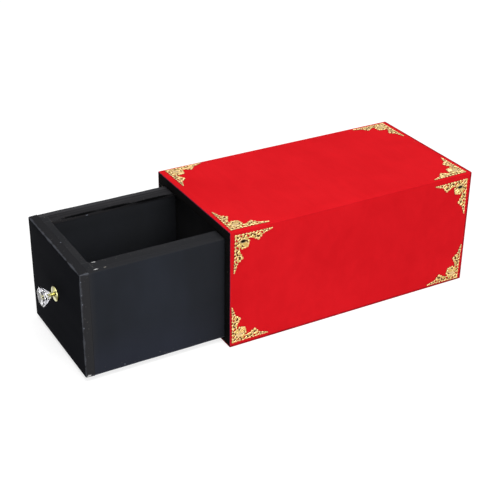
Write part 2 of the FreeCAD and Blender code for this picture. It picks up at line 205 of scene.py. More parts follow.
# Pairs named cut are the two values of a noise or a mask between which it goes from none to full, and pairs
# named bump are a depth in metres and a strength.
rubbing = {"raggedCut": (0.25, 0.75), "specks": 620.0, "speckCut": (0.69, 0.73), "speckReach": 7 * mm}


def buildEdgeWear():
    # Distance to the nearest edge of a box: of the three distances to its faces, the middle one. The
    # rubbing fades out over a width that noise makes ragged, and specks thin out away from the edge.
    tree, given, place = newGroup(
        "edgeWear", {"Low": (0.0, 0.0, 0.0), "High": (1.0, 1.0, 1.0),
                     "Width": 0.001, "Breakup Size": 120.0, "Amount": 0.5})
    halving = (0.5, 0.5, 0.5)
    middle = vectorCalc(tree, "MULTIPLY", vectorCalc(tree, "ADD", given["Low"], given["High"]), halving)
    half = vectorCalc(tree, "MULTIPLY", vectorCalc(tree, "SUBTRACT", given["High"], given["Low"]), halving)
    offset = vectorCalc(tree, "ABSOLUTE", vectorCalc(tree, "SUBTRACT", place, middle))
    away = vectorCalc(tree, "ABSOLUTE", vectorCalc(tree, "SUBTRACT", half, offset))
    x, y, z = addNode(tree, "SeparateXYZ", {"Vector": away}).outputs
    least, most = calc(tree, "MINIMUM", x, y), calc(tree, "MAXIMUM", x, y)
    edge = calc(tree, "MAXIMUM", least, calc(tree, "MINIMUM", most, z))
    coarse = noise(tree, place, given["Breakup Size"], detail=4.0, roughness=0.65)
    reach = times(tree, given["Width"], remap(tree, coarse, *rubbing["raggedCut"], 0.0, 2.0))
    share = calc(tree, "DIVIDE", edge, calc(tree, "MAXIMUM", reach, leastReach))
    near = calc(tree, "SUBTRACT", 1.0, share, clamp=True)
    wear = calc(tree, "MULTIPLY", near, given["Amount"], clamp=True)
    speckNoise = noise(tree, place, rubbing["specks"], detail=2.0, roughness=0.5)
    specks = remap(tree, speckNoise, *rubbing["speckCut"])
    nearEdge = remap(tree, edge, rubbing["speckReach"], 0.0)
    return endGroup(tree, {"Wear": wear, "Flecks": times(tree, specks, nearEdge)})


brushing = {"strokeShare": 0.55, "toneCut": (0.32, 0.68), "strokeHeight": 0.8, "blotchCut": (0.3, 0.7),
            "roughnessSpread": (-0.06, 0.06)}


def buildBrushedPaint():
    # long soft strokes along one way, drawn out of noise by the stretch, and fine bristle lines
    tree, given, place = newGroup(
        "brushedPaint", {"Stroke Stretch": (30.0, 2.0, 30.0),
                         "Bristle Stretch": (900.0, 25.0, 900.0), "Blotch Size": 14.0})
    wide = stretched(tree, place, given["Stroke Stretch"], detail=2.0, roughness=0.5)
    fine = stretched(tree, place, given["Bristle Stretch"], roughness=0.6)
    blotch = noise(tree, place, given["Blotch Size"], roughness=0.5)
    tone = weighted(tree, wide, blotch, brushing["strokeShare"])
    height = calc(tree, "ADD", fine, times(tree, wide, brushing["strokeHeight"]))
    shift = remap(tree, blotch, *brushing["blotchCut"], *brushing["roughnessSpread"])
    return endGroup(tree, {"Tone": remap(tree, tone, *brushing["toneCut"]), "Height": height,
                           "Roughness Shift": shift})


chipping = {"rags": 1400.0, "edgeCut": (1.0, 0.7)}


def buildChip():
    # a small ragged spot: distance to its middle, as a share of a size that noise pushes about
    tree, given, place = newGroup(
        "paintChip", {"Middle": (0.0, 0.0, 0.0), "Stretch": (1.0, 1.0, 1.0), "Size": 0.001,
                      "Raggedness": 1.8})
    offset = vectorCalc(tree, "MULTIPLY", vectorCalc(tree, "SUBTRACT", place, given["Middle"]),
                        given["Stretch"])
    ragged = noise(tree, place, chipping["rags"], roughness=0.6)
    push = times(tree, calc(tree, "SUBTRACT", ragged, 0.5), given["Raggedness"])
    reach = times(tree, given["Size"], calc(tree, "ADD", 1.0, push))
    reach = calc(tree, "MAXIMUM", reach, leastReach)
    share = calc(tree, "DIVIDE", vectorCalc(tree, "LENGTH", offset), reach)
    return endGroup(tree, {"Chip": remap(tree, share, *chipping["edgeCut"])})


piling = {"layShare": 0.4, "toneCut": (0.34, 0.66), "clumps": 900.0, "clumpHeight": 0.8, "speckShare": 0.5}


def buildFlockPile():
    # short fibres as the finest noise, the pile's lay as stretched streaks, and soft hand-pressed patches
    tree, given, place = newGroup(
        "flockPile", {"Lay Stretch": (20.0, 90.0, 55.0), "Patch Size": 22.0, "Fibre Size": 5200.0})
    lay = stretched(tree, place, given["Lay Stretch"], detail=4.0, roughness=0.6, distortion=0.6)
    patch = noise(tree, place, given["Patch Size"], distortion=0.4)
    fibre = noise(tree, place, given["Fibre Size"], detail=2.0, roughness=0.7)
    clump = noise(tree, place, piling["clumps"], roughness=0.6)
    soft = remap(tree, weighted(tree, lay, patch, piling["layShare"]), *piling["toneCut"])
    speck = times(tree, calc(tree, "SUBTRACT", fibre, 0.5), piling["speckShare"])
    height = calc(tree, "ADD", fibre, times(tree, clump, piling["clumpHeight"]))
    return endGroup(tree, {"Tone": calc(tree, "ADD", soft, speck, clamp=True), "Height": height})


tarnishCut = (0.35, 0.75)


def buildMetalSkin():
    # fine scratches and a faint cloud of tarnish
    tree, given, place = newGroup(
        "metalSkin", {"Scratch Stretch": (200.0, 200.0, 3000.0), "Cloud Size": 260.0})
    scratch = stretched(tree, place, given["Scratch Stretch"], roughness=0.7)
    cloud = noise(tree, place, given["Cloud Size"], roughness=0.6)
    return endGroup(tree, {"Scratch": scratch, "Tarnish": remap(tree, cloud, *tarnishCut)})


edgeWear = buildEdgeWear()
brushedPaint = buildBrushedPaint()
paintChip = buildChip()
flockPile = buildFlockPile()
metalSkin = buildMetalSkin()
print("shared effects built")

# the deep red darkens the bottom and back edges in patches and, as painted shade, the shoulders
flock = {"lit": screen(226, 26, 35), "pressed": screen(215, 21, 30), "cutEdge": screen(138, 44, 74),
         "hem": screen(118, 11, 26), "hemStart": 0.8 * mm, "hemEnd": 2.1 * mm, "hemShares": (0.4, 0.9),
         "patches": 90.0, "patchCut": (0.3, 0.6), "cutStart": 0.42 * mm, "cutFull": 0.15 * mm,
         "rubReach": 2.6 * mm, "rubShare": 0.13, "bump": (0.16 * mm, 0.6),
         "plain": {"Roughness": 0.95, "Specular IOR Level": 0.04, "Sheen Weight": 0.04,
                   "Sheen Roughness": 0.45, "Sheen Tint": screen(255, 120, 120)}}


def flockedCloth(name, edgeToned):
    material, tree, shader, place = newMaterial(name)
    pile = useGroup(tree, flockPile, {"Place": place})
    colour = blendColour(tree, pile["Tone"], flock["pressed"], flock["lit"])
    if edgeToned:
        # dark in patches along the bottom and back edges, a little darker on the shoulders as painted shade
        # against the light their rounding catches, and purple on the cut front edge
        (_, frontEdge, _), (wrapSide, backEdge, wrapTop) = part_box("covering_wrap")
        across, along, upward = addNode(tree, "SeparateXYZ", {"Vector": place}).outputs
        # darker in patches along the bottom and back edges
        bottom = remap(tree, upward, flock["hemEnd"], flock["hemStart"])
        back = remap(tree, along, backEdge - flock["hemEnd"], backEdge - flock["hemStart"])
        patchy = remap(tree, noise(tree, place, flock["patches"]), *flock["patchCut"], *flock["hemShares"])
        darkEdgeBands = times(tree, calc(tree, "MAXIMUM", bottom, back), patchy)
        side = calc(tree, "SUBTRACT", wrapSide, calc(tree, "ABSOLUTE", across))
        shoulder = calc(tree, "MAXIMUM", side, calc(tree, "SUBTRACT", wrapTop, upward))
        # painted shade along the shoulders, where the rounding catches light from both lamps
        rubbed = remap(tree, shoulder, flock["rubReach"], 0.0, 0.0, flock["rubShare"])
        cut = remap(tree, along, frontEdge + flock["cutStart"], frontEdge + flock["cutFull"])
        for share, tone in ((darkEdgeBands, flock["hem"]), (rubbed, flock["hem"]), (cut, flock["cutEdge"])):
            colour = blendColour(tree, share, colour, tone)
    finishShader(tree, shader, flock, colour, height=pile["Height"])
    return material


# Each paint: dark and light end of its tone, colour of rubbed edges, how wide and strong the rubbing is,
# share of bare specks, roughness and specular, and the stretch of the brush strokes in x, y and z.
paintWords = ("dark", "light", "worn", "width", "amount", "flecks", "roughness", "specular", "stretch")
paints = {
    "case": (screen(25, 24, 24), screen(34, 33, 33), screen(62, 62, 64), 0.6 * mm, 0.4, 0.4, 0.75, 0.004,
             (60, 4, 60)),
    # The front's paint is darker than the drawer's: painted shade on the drawer's front, which faces away
    # from the lamps.
    "front": (screen(24, 25, 29), screen(33, 34, 38), screen(92, 95, 102), 1.4 * mm, 0.85, 0.35, 0.7, 0.004,
              (4, 45, 45)),
    # The drawer's paint has a bluish light end, partly painted sheen of its satin finish.
    "drawer": (screen(36, 38, 42), screen(43, 46, 53), screen(104, 108, 116), 1.0 * mm, 0.8, 0.7, 0.62,
               0.015, (30, 30, 12)),
    "rim": (screen(35, 36, 39), screen(46, 46, 48), screen(76, 76, 78), 0.7 * mm, 0.4, 0.5, 0.62, 0.015,
            (30, 12, 30)),
    "farRim": (screen(26, 26, 28), screen(60, 59, 61), screen(66, 66, 68), 0.7 * mm, 0.4, 0.3, 0.7, 0.008,
               (380, 9, 380)),
    # The inner drawer's paint is lighter than the drawer's: painted light that lifts it out of the case's
    # shade.
    "inner": (screen(45, 45, 46), screen(57, 57, 59), screen(84, 84, 86), 0.6 * mm, 0.5, 0.4, 0.75, 0.008,
              (30, 30, 8)),
}
paintBump = (0.06 * mm, 0.5)

bareWood = screen(150, 146, 138)
endGrain = screen(51, 51, 53)
rimTone = screen(42, 42, 44)
farRimTone = paints["farRim"][1]
# painted sheen: the satin paint's bluish sheen low on the drawer's side
bluishSheenBelow = screen(49, 52, 64)
# painted shade on the drawer's side by the case's mouth
caseMouthShade = screen(35, 36, 39)
# a lighter tone for the drawer's inside faces
lighterInside = screen(84, 84, 85)
primer = screen(196, 196, 196)
# painted shadow: dark streaks under the far lip
underLipShadow = screen(9, 9, 10)
scuffed = screen(104, 108, 118)
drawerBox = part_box("show_front_panel")
drawerSide, boardBack, drawerTop = drawerBox[1]
drawerBottom = drawerBox[0][2]
# toned parts of single boards, some of them painted sheen and shade: axis, edge, distances from it in mm
# where the tone starts and is full, its colour and its share
bands = {
    "show_front_panel": [("X", drawerSide, -0.7, -0.3, endGrain, 0.9),
                         ("X", -drawerSide, 0.7, 0.3, endGrain, 0.9),
                         ("Z", drawerTop, -0.7, -0.3, rimTone, 0.85)],
    "show_right_panel": [("Y", boardBack, 5, -1, endGrain, 0.7), ("Z", 0, 42, 14, bluishSheenBelow, 0.5),
                         # painted shade where the side goes into the case
                         ("Y", 0, -165, -128, caseMouthShade, 0.6), ("Z", drawerTop, -1.2, -0.4, rimTone, 0.8),
                         ("Z", drawerBottom, 1.3, 0.7, scuffed, 0.45)],
    "show_left_panel": [("Y", boardBack, 5, -1, endGrain, 0.7),
                        ("X", -drawerSide, 5, 6, lighterInside, 0.16),
                        ("Z", drawerTop, -0.8, -0.4, farRimTone, 0.8)],
    "show_floor_panel": [("Z", 0, 6.2, 6.5, lighterInside, 0.25)],
}
# knocks in the paint and streaks of painted shadow: middle and size in mm, stretch in x, y and z, colour
chipsAndShadowStreaks = {
    "show_right_lip": [((42.4, -234.8, 100.8), 1.2, (1.6, 0.7, 1), primer)],
    "show_right_panel": [((54.0, -237.5, 100.9), 1.3, (1.8, 0.6, 1), primer),
                         ((54.2, -230.0, 100.9), 0.9, (1.8, 0.7, 1), bareWood),
                         ((57.2, -218.2, 6.9), 0.6, (1, 1, 1), scuffed)],
    "show_front_panel": [((57.1, -250.0, 5.6), 1.0, (1, 0.5, 0.9), primer),
                         ((-0.4, -245.6, 100.9), 0.7, (1, 1, 1), scuffed),
                         ((57.1, -252.0, 94.6), 0.6, (1, 1.2, 0.7), scuffed),
                         ((57.1, -251.9, 82.6), 0.5, (1, 1, 0.8), scuffed),
                         ((57.1, -251.7, 74.2), 0.5, (1, 1, 0.6), scuffed),
                         ((57.1, -251.8, 52.0), 0.6, (1, 1, 0.8), scuffed)],
    "show_left_panel": [((-50.9, -216.0, 93.7), 1.0, (1, 0.6, 1.2), bareWood)],
    # streaks of painted shadow where the lip overhangs the wall
    "show_left_lip": [((-40.6, -212.0, 100.5), 1.3, (1, 0.06, 1), underLipShadow),
                      ((-40.6, -179.0, 100.1), 1.5, (1, 0.08, 1), underLipShadow),
                      ((-40.6, -145.0, 99.5), 1.4, (1, 0.06, 1), underLipShadow),
                      ((-40.6, -206.0, 98.5), 0.6, (1, 0.5, 1), scuffed)],
    "case_left_panel": [((-60.0, -124.9, 99.0), 0.9, (1, 1, 1), bareWood)],
}


def paintedWood(name, lowCorner, highCorner, paintName):
    # brushed paint, the board's toned parts, among them painted sheen and shade, rubbed edges and specks of
    # wood, then the knocks and the streaks of painted shadow
    material, tree, shader, place = newMaterial(name + "Paint")
    paint = dict(zip(paintWords, paints[paintName]))
    coat = useGroup(tree, brushedPaint, {"Place": place, "Stroke Stretch": paint["stretch"]})
    wear = useGroup(tree, edgeWear, {"Place": place, "Low": lowCorner, "High": highCorner,
                                     "Width": paint["width"], "Amount": paint["amount"]})
    colour = blendColour(tree, coat["Tone"], paint["dark"], paint["light"])
    ways = addNode(tree, "SeparateXYZ", {"Vector": place}).outputs
    for axis, edge, start, full, tone, share in bands.get(name, ()):
        mask = times(tree, remap(tree, ways[axis], edge + start * mm, edge + full * mm), share)
        colour = blendColour(tree, mask, colour, tone)
    colour = blendColour(tree, wear["Wear"], colour, paint["worn"])
    colour = blendColour(tree, times(tree, wear["Flecks"], paint["flecks"]), colour, bareWood)
    for middle, size, stretch, spotColour in chipsAndShadowStreaks.get(name, ()):
        spot = useGroup(tree, paintChip, {"Place": place, "Middle": [m * mm for m in middle],
                                          "Size": size * mm, "Stretch": stretch})
        colour = blendColour(tree, spot["Chip"], colour, spotColour)
    look = {"plain": {"Specular IOR Level": paint["specular"]}, "bump": paintBump}
    roughness = calc(tree, "ADD", paint["roughness"], coat["Roughness Shift"])
    finishShader(tree, shader, look, colour, roughness, coat["Height"])
    return material


# the pale rim tone is a painted highlight on the rounded edges
brass = {"crease": screen(88, 54, 18), "rim": screen(238, 204, 148), "crown": screen(209, 180, 99),
         "tarnished": screen(183, 151, 78), "black": screen(10, 9, 3), "creaseCut": (0.22, 0.72),
         "crownCut": (0.78, 0.98), "upperHollow": 1.0, "otherHollow": 0.12, "scratches": (700.0,) * 3,
         "roughness": (0.55, 0.30), "smoothAt": 0.8, "bump": (0.03 * mm, 0.4),
         "plain": {"Metallic": 0.92, "Specular IOR Level": 0.4}}


def stampedBrass():
    # brown in the creases, pale on the rounded edges as a painted highlight, gold on the crowns, and black
    # in the leaf's hollow, a little on most corners and full on the upper ones as a painted dark
    # reflection, by the relief and the share kept on the mesh
    material, tree, shader, place = newMaterial("stampedBrass")
    relief, black = (addNode(tree, "Attribute", attribute_name=name).outputs["Fac"]
                     for name in ("relief", "blackening"))
    skin = useGroup(tree, metalSkin, {"Place": place, "Scratch Stretch": brass["scratches"]})
    crown = blendColour(tree, skin["Tarnish"], brass["crown"], brass["tarnished"])
    # painted highlight: the pale tone on the rounded edges
    top = blendColour(tree, remap(tree, relief, *brass["crownCut"]), brass["rim"], crown)
    metal = blendColour(tree, remap(tree, relief, *brass["creaseCut"]), brass["crease"], top)
    # black in the hollow: a little blackening, and on the upper corners a painted dark reflection
    colour = blendColour(tree, black, metal, brass["black"])
    roughness = remap(tree, relief, 0.0, brass["smoothAt"], *brass["roughness"])
    finishShader(tree, shader, brass, colour, roughness, skin["Scratch"])
    return material


turned = {"polished": screen(226, 222, 168), "dull": screen(188, 183, 112), "olive": screen(92, 86, 22),
          "sectors": 3.0, "sectorTurn": math.radians(335), "sectorShake": 0.5, "shakeSize": 700.0,
          "sectorCut": (0.15, 0.85), "hollowStart": 2.6 * mm, "hollowEnd": 7.0 * mm, "outerShare": 0.85,
          "scratches": (150.0, 5200.0, 150.0), "roughness": (0.07, 0.16), "bump": (0.01 * mm, 0.3),
          "plain": {"Metallic": 1.0}}
scratchCut = (0.2, 0.8)


def turnedBrass():
    # olive over polished brass, a painted reflection of the dark front and crystal: the cosine of three
    # times the angle round the knob's axis, shaken by noise, and less of it outwards from the neck
    material, tree, shader, place = newMaterial("turnedBrass")
    skin = useGroup(tree, metalSkin, {"Place": place, "Scratch Stretch": turned["scratches"]})
    polished = blendColour(tree, skin["Tarnish"], turned["polished"], turned["dull"])
    middle = np.array(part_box("knob_foot")).mean(0).tolist()
    outward = vectorCalc(tree, "MULTIPLY", vectorCalc(tree, "SUBTRACT", place, middle), (1.0, 0.0, 1.0))
    across, _, upward = addNode(tree, "SeparateXYZ", {"Vector": outward}).outputs
    angle = times(tree, calc(tree, "ARCTAN2", upward, across), turned["sectors"])
    shake = times(tree, noise(tree, place, turned["shakeSize"], detail=2.0), turned["sectorShake"])
    shaken = calc(tree, "ADD", calc(tree, "SUBTRACT", angle, turned["sectorTurn"]), shake)
    sectors = remap(tree, calc(tree, "COSINE", shaken), *turned["sectorCut"])
    hollow = remap(tree, vectorCalc(tree, "LENGTH", outward), turned["hollowEnd"], turned["hollowStart"],
                   turned["outerShare"], 1.0)
    # the olive sectors are a painted reflection of the dark front and crystal
    colour = blendColour(tree, times(tree, sectors, hollow), polished, turned["olive"])
    roughness = remap(tree, skin["Scratch"], *scratchCut, *turned["roughness"])
    finishShader(tree, shader, turned, colour, roughness, skin["Scratch"])
    return material


steel = {"bright": screen(178, 178, 180), "dull": screen(132, 131, 130), "roughness": (0.24, 0.42),
         "scratches": (3000.0, 180.0, 3000.0), "bump": (0.02 * mm, 0.4), "plain": {"Metallic": 1.0}}


def brightSteel():
    material, tree, shader, place = newMaterial("brightSteel")
    skin = useGroup(tree, metalSkin, {"Place": place, "Scratch Stretch": steel["scratches"]})
    colour = blendColour(tree, skin["Tarnish"], steel["bright"], steel["dull"])
    roughness = remap(tree, skin["Scratch"], *scratchCut, *steel["roughness"])
    finishShader(tree, shader, steel, colour, roughness, skin["Scratch"])
    return material


bradPaint = {"painted": screen(38, 40, 45), "bare": screen(84, 86, 90), "rubSize": 900.0,
             "rubCut": (0.45, 0.7), "roughness": (0.6, 0.42), "bump": (0.04 * mm, 0.5),
             "plain": {"Specular IOR Level": 0.05}}


def paintedBrads():
    # brad heads under the drawer's paint, a little rubbed
    material, tree, shader, place = newMaterial("paintedBrads")
    rubbed = remap(tree, noise(tree, place, bradPaint["rubSize"], roughness=0.6), *bradPaint["rubCut"])
    colour = blendColour(tree, rubbed, bradPaint["painted"], bradPaint["bare"])
    finishShader(tree, shader, bradPaint, colour, remap(tree, rubbed, 0.0, 1.0, *bradPaint["roughness"]),
                 rubbed)
    return material


# the grey tint is painted shade: it dims what is seen through the crystal, for its darker facets
crystal = {"colour": screen(219, 219, 226), "hazeSize": 900.0, "hazeCut": (0.3, 0.7),
           "roughness": (0.0, 0.02),
           "plain": {"Transmission Weight": 1.0, "IOR": 1.6, "Specular IOR Level": 0.5}}


def cutCrystal():
    material, tree, shader, place = newMaterial("cutCrystal")
    haze = noise(tree, place, crystal["hazeSize"], detail=2.0, roughness=0.5)
    roughness = remap(tree, haze, *crystal["hazeCut"], *crystal["roughness"])
    finishShader(tree, shader, crystal, crystal["colour"], roughness)
    return material


flockMaterial = flockedCloth("redFlock", False)
hemmedFlock = flockedCloth("hemmedFlock", True)
stampedMaterial = stampedBrass()
turnedMaterial = turnedBrass()
steelMaterial = brightSteel()
bradMaterial = paintedBrads()
crystalMaterial = cutCrystal()


def jointBox(*nodeNames):
    # the lowest and highest corners of several nodes together, where edges get rubbed
    corners = np.array([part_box(name) for name in nodeNames])
    return corners[:, 0].min(0).tolist(), corners[:, 1].max(0).tolist()


caseWood = jointBox("case_left_panel", "case_right_panel", "case_top_panel", "case_back_panel",
                    "case_floor_panel")
drawerWood = jointBox("show_left_panel", "show_right_panel", "show_front_panel")
innerWood = jointBox("inner_left_panel", "inner_front_panel", "inner_right_panel", "inner_back_panel")
(_, rimFront, _), (rimLeft, _, rimTop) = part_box("show_front_lip")[1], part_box("show_left_lip")[1]
rimOpening = ([rimLeft, rimFront, 0.0], [-rimLeft, drawerWood[1][1], rimTop])
clearAbove = 50 * mm


def woodOf(nodeName):
    paintName, rubbed = {"case": ("case", caseWood), "show": ("drawer", drawerWood),
                         "inner": ("inner", innerWood)}[nodeName.split("_")[0]]
    # the front panel takes the darker paint, painted shade on its face
    if nodeName == "show_front_panel":
        paintName = "front"
    elif nodeName.startswith("show") and nodeName.endswith("lip"):
        paintName, rubbed = "farRim" if "left" in nodeName else "rim", rimOpening
    elif nodeName.startswith("show"):
        # the sides' top edge isn't rubbed, so the rubbed box ends well above it
        rubbed = (rubbed[0], [*rubbed[1][:2], rubbed[1][2] + clearAbove])
    return paintedWood(nodeName, *rubbed, paintName)


# words in a node's name and the finish that they stand for; the rest is painted wood
finishes = {"covering": flockMaterial, "ornament": stampedMaterial, "peg": turnedMaterial,
            "foot": turnedMaterial, "crystal": crystalMaterial, "brads": bradMaterial,
            "nails": steelMaterial, "screw": steelMaterial, "flap": steelMaterial}
for nodeName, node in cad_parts.items():
    found = [finishes[word] for word in nodeName.split("_") if word in finishes]
    dress(node, found[-1] if found else woodOf(nodeName))
print("finishes placed")

boards = {"paintGap": 0.02 * mm, "station": 5 * mm, "ripple": 0.30, "arcSteps": 5, "sharpDegrees": 35,
          "rippleLengths": (4.7 * mm, 13.1 * mm, 29.5 * mm), "ripplePhases": (1.7, 3.91, 1.19),
          "hidden": 0.08}    # radius in mm of the edges that lie against another piece


def ripples(along, seed):
    # three sine waves of unlike lengths, averaged to stay between -1 and 1
    waves = zip(boards["rippleLengths"], boards["ripplePhases"])
    return sum(np.sin(along / length + phase * seed) for length, phase in waves) / 3


def roundedBoard(low, high, way, corners, ends, tuck, seed):
    # A rounded rectangle carried along one axis. Each corner has its own radius, which swells and shrinks a
    # little on the way and is next to nothing over the tucked length at both ends, and its own roll over a
    # quarter circle at the ends, which close on their middle.
    first, second = (way + 1) % 3, (way + 2) % 3
    low = np.array(low) + boards["paintGap"]
    high = np.array(high) - boards["paintGap"]
    middle, half = (low + high) / 2, (high - low) / 2
    length = 2 * half[way]
    least = boards["hidden"] * mm
    roll = np.linspace(0, math.pi / 2, boards["arcSteps"])
    widest = max(ends)
    inner = np.linspace(widest, length - widest, max(3, int(length / boards["station"])))[1:-1]
    if tuck:
        inner = np.sort([*inner, tuck, tuck + mm, length - tuck - mm, length - tuck])
    swell = np.concatenate([[0], np.sin(roll), np.ones(len(inner)), np.sin(roll[::-1]), [0]])
    pole = np.ones(len(swell))
    pole[[0, -1]] = 0
    points = []
    for quarter, (signA, signB) in enumerate(((1, 1), (-1, 1), (-1, -1), (1, -1))):
        end = ends[quarter]
        sink = end * (1 - np.cos(roll))
        along = np.concatenate([[0], sink, inner, length - sink[::-1], [length]])
        radius = corners[quarter] * (1 + boards["ripple"] * ripples(along, seed + quarter))
        radius = np.where(swell < 1, corners[quarter], radius)
        opened = np.clip((np.minimum(along, length - along) - tuck) / mm, 0, 1) if tuck else 1
        edge = np.maximum(least + (radius - least) * opened, end * (swell < 1))[:, None]
        angle = quarter * math.pi / 2 + roll
        grid = np.zeros((len(along), len(roll), 3))
        grid[..., way] = low[way] + along[:, None]
        for axis, sign, part in ((first, signA, np.cos(angle)), (second, signB, np.sin(angle))):
            spread = sign * (half[axis] - edge) + edge * swell[:, None] * part
            grid[..., axis] = middle[axis] + pole[:, None] * spread
        points.append(grid)
    points = np.concatenate(points, 1)
    return points, gridFaces(*points.shape[:2], ring=True)


# The axis a board runs along; its corner radii in mm round the section, which is seen with the next axis to
# the right and the one after that upwards: high right, high left, low left, low right; the rolls at both
# ends in the same order; and the length at both ends that lies against a neighbour.
hidden = boards["hidden"]
square, eased, even = (hidden,) * 4, (0.5,) * 4, (0.2,) * 4
boardShapes = {
    "show_front_panel": (2, (hidden, hidden, 1.2, 1.2), (hidden, hidden, 0.8, 0.8), 0),
    "show_left_panel": (1, (hidden, 0.3, 0.9, 1.5), square, 0),
    "show_right_panel": (1, (1.5, 0.9, 0.3, hidden), square, 0),
    "show_left_lip": (1, (1.2, 0.5, hidden, hidden), square, 0),
    "show_right_lip": (1, (hidden, hidden, 0.5, 1.2), square, 0),
    "show_front_lip": (0, (1.2, hidden, hidden, 0.5), square, 10.3),
    "case_left_panel": (1, even, eased, 0),
    "case_right_panel": (1, even, eased, 0),
    "case_top_panel": (1, even, eased, 0),
    "inner_front_panel": (0, (0.5, 0.7, 0.5, 0.3), eased, 0),
    "inner_back_panel": (0, (0.7, 0.5, 0.3, 0.5), eased, 0),
    "inner_left_panel": (1, (0.5, 0.3, 0.5, 0.7), square, 0),
    "inner_right_panel": (1, (0.7, 0.5, 0.3, 0.5), square, 0),
}
for seed, (nodeName, (way, corners, ends, tuck)) in enumerate(boardShapes.items()):
    words = nodeName.split("_")
    points, faces = roundedBoard(*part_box(nodeName), way, [c * mm for c in corners],
                                 [e * mm for e in ends], tuck * mm, seed)
    body, slotName = {"case": ("case", "case_black"), "show": ("show_drawer", "drawer_black"),
                      "inner": ("inner_drawer", "inner_black")}[words[0]]
    makePiece(joinedName(words[0], "board", *words[1:]), points, faces,
              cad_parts[nodeName].data.materials[0], body, [nodeName],
              boards["sharpDegrees"], weldReach)
print("boards made")

wrapShape = {"rounding": 0.9 * mm, "station": 4 * mm, "cornerSteps": 8, "flatSteps": 20, "lipSteps": 9,
             "sharpDegrees": 40}


def flockedWrap():
    # The section goes up one side, over the top and down the other. It is the path of a smaller box pushed
    # out by the rounding along a bearing, which turns through a quarter circle at both shoulders. It is
    # carried from the back to the front, round the cloth's edge and back on its inside.
    low, high = np.array(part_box("covering_wrap"))
    thick = high[0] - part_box("covering_back")[1][0]
    radius, flat, steps = wrapShape["rounding"], wrapShape["flatSteps"], wrapShape["cornerSteps"]
    side, top = high[0] - radius, high[2] - radius
    turn = np.linspace(0, math.pi / 2, steps)
    across = np.concatenate([np.full(flat + steps, -side), np.linspace(-side, side, flat),
                             np.full(steps + flat, side)])[:, None]
    upward = np.concatenate([np.linspace(0, top, flat), np.full(flat + 2 * steps, top),
                             np.linspace(top, 0, flat)])[:, None]
    bearing = np.concatenate([np.full(flat, math.pi), math.pi - turn, np.full(flat, math.pi / 2),
                              math.pi / 2 - turn, np.zeros(flat)])[:, None]
    lip = np.linspace(0, math.pi, wrapShape["lipSteps"])[1:-1]
    lengths = np.arange(high[1], low[1] + thick, -wrapShape["station"])
    reach = radius - np.concatenate([0 * lengths, thick / 2 * (1 - np.cos(lip)), 0 * lengths + thick])
    along = np.concatenate([lengths, low[1] + thick / 2 * (1 - np.sin(lip)), lengths[::-1]])
    points = np.stack(np.broadcast_arrays(across + reach * np.cos(bearing), along,
                                          upward + reach * np.sin(bearing)), -1)
    faces = gridFaces(*points.shape[:2], ring=True).tolist()
    last, count = len(bearing) - 1, len(along)
    faces += [list(range(count)), list(range(last * count, (last + 1) * count))]    # both bottom edges
    makePiece("flockedWrap", points, faces, hemmedFlock, "case", ["covering_wrap"],
              wrapShape["sharpDegrees"], weldReach)


flockedWrap()
print("covering made")

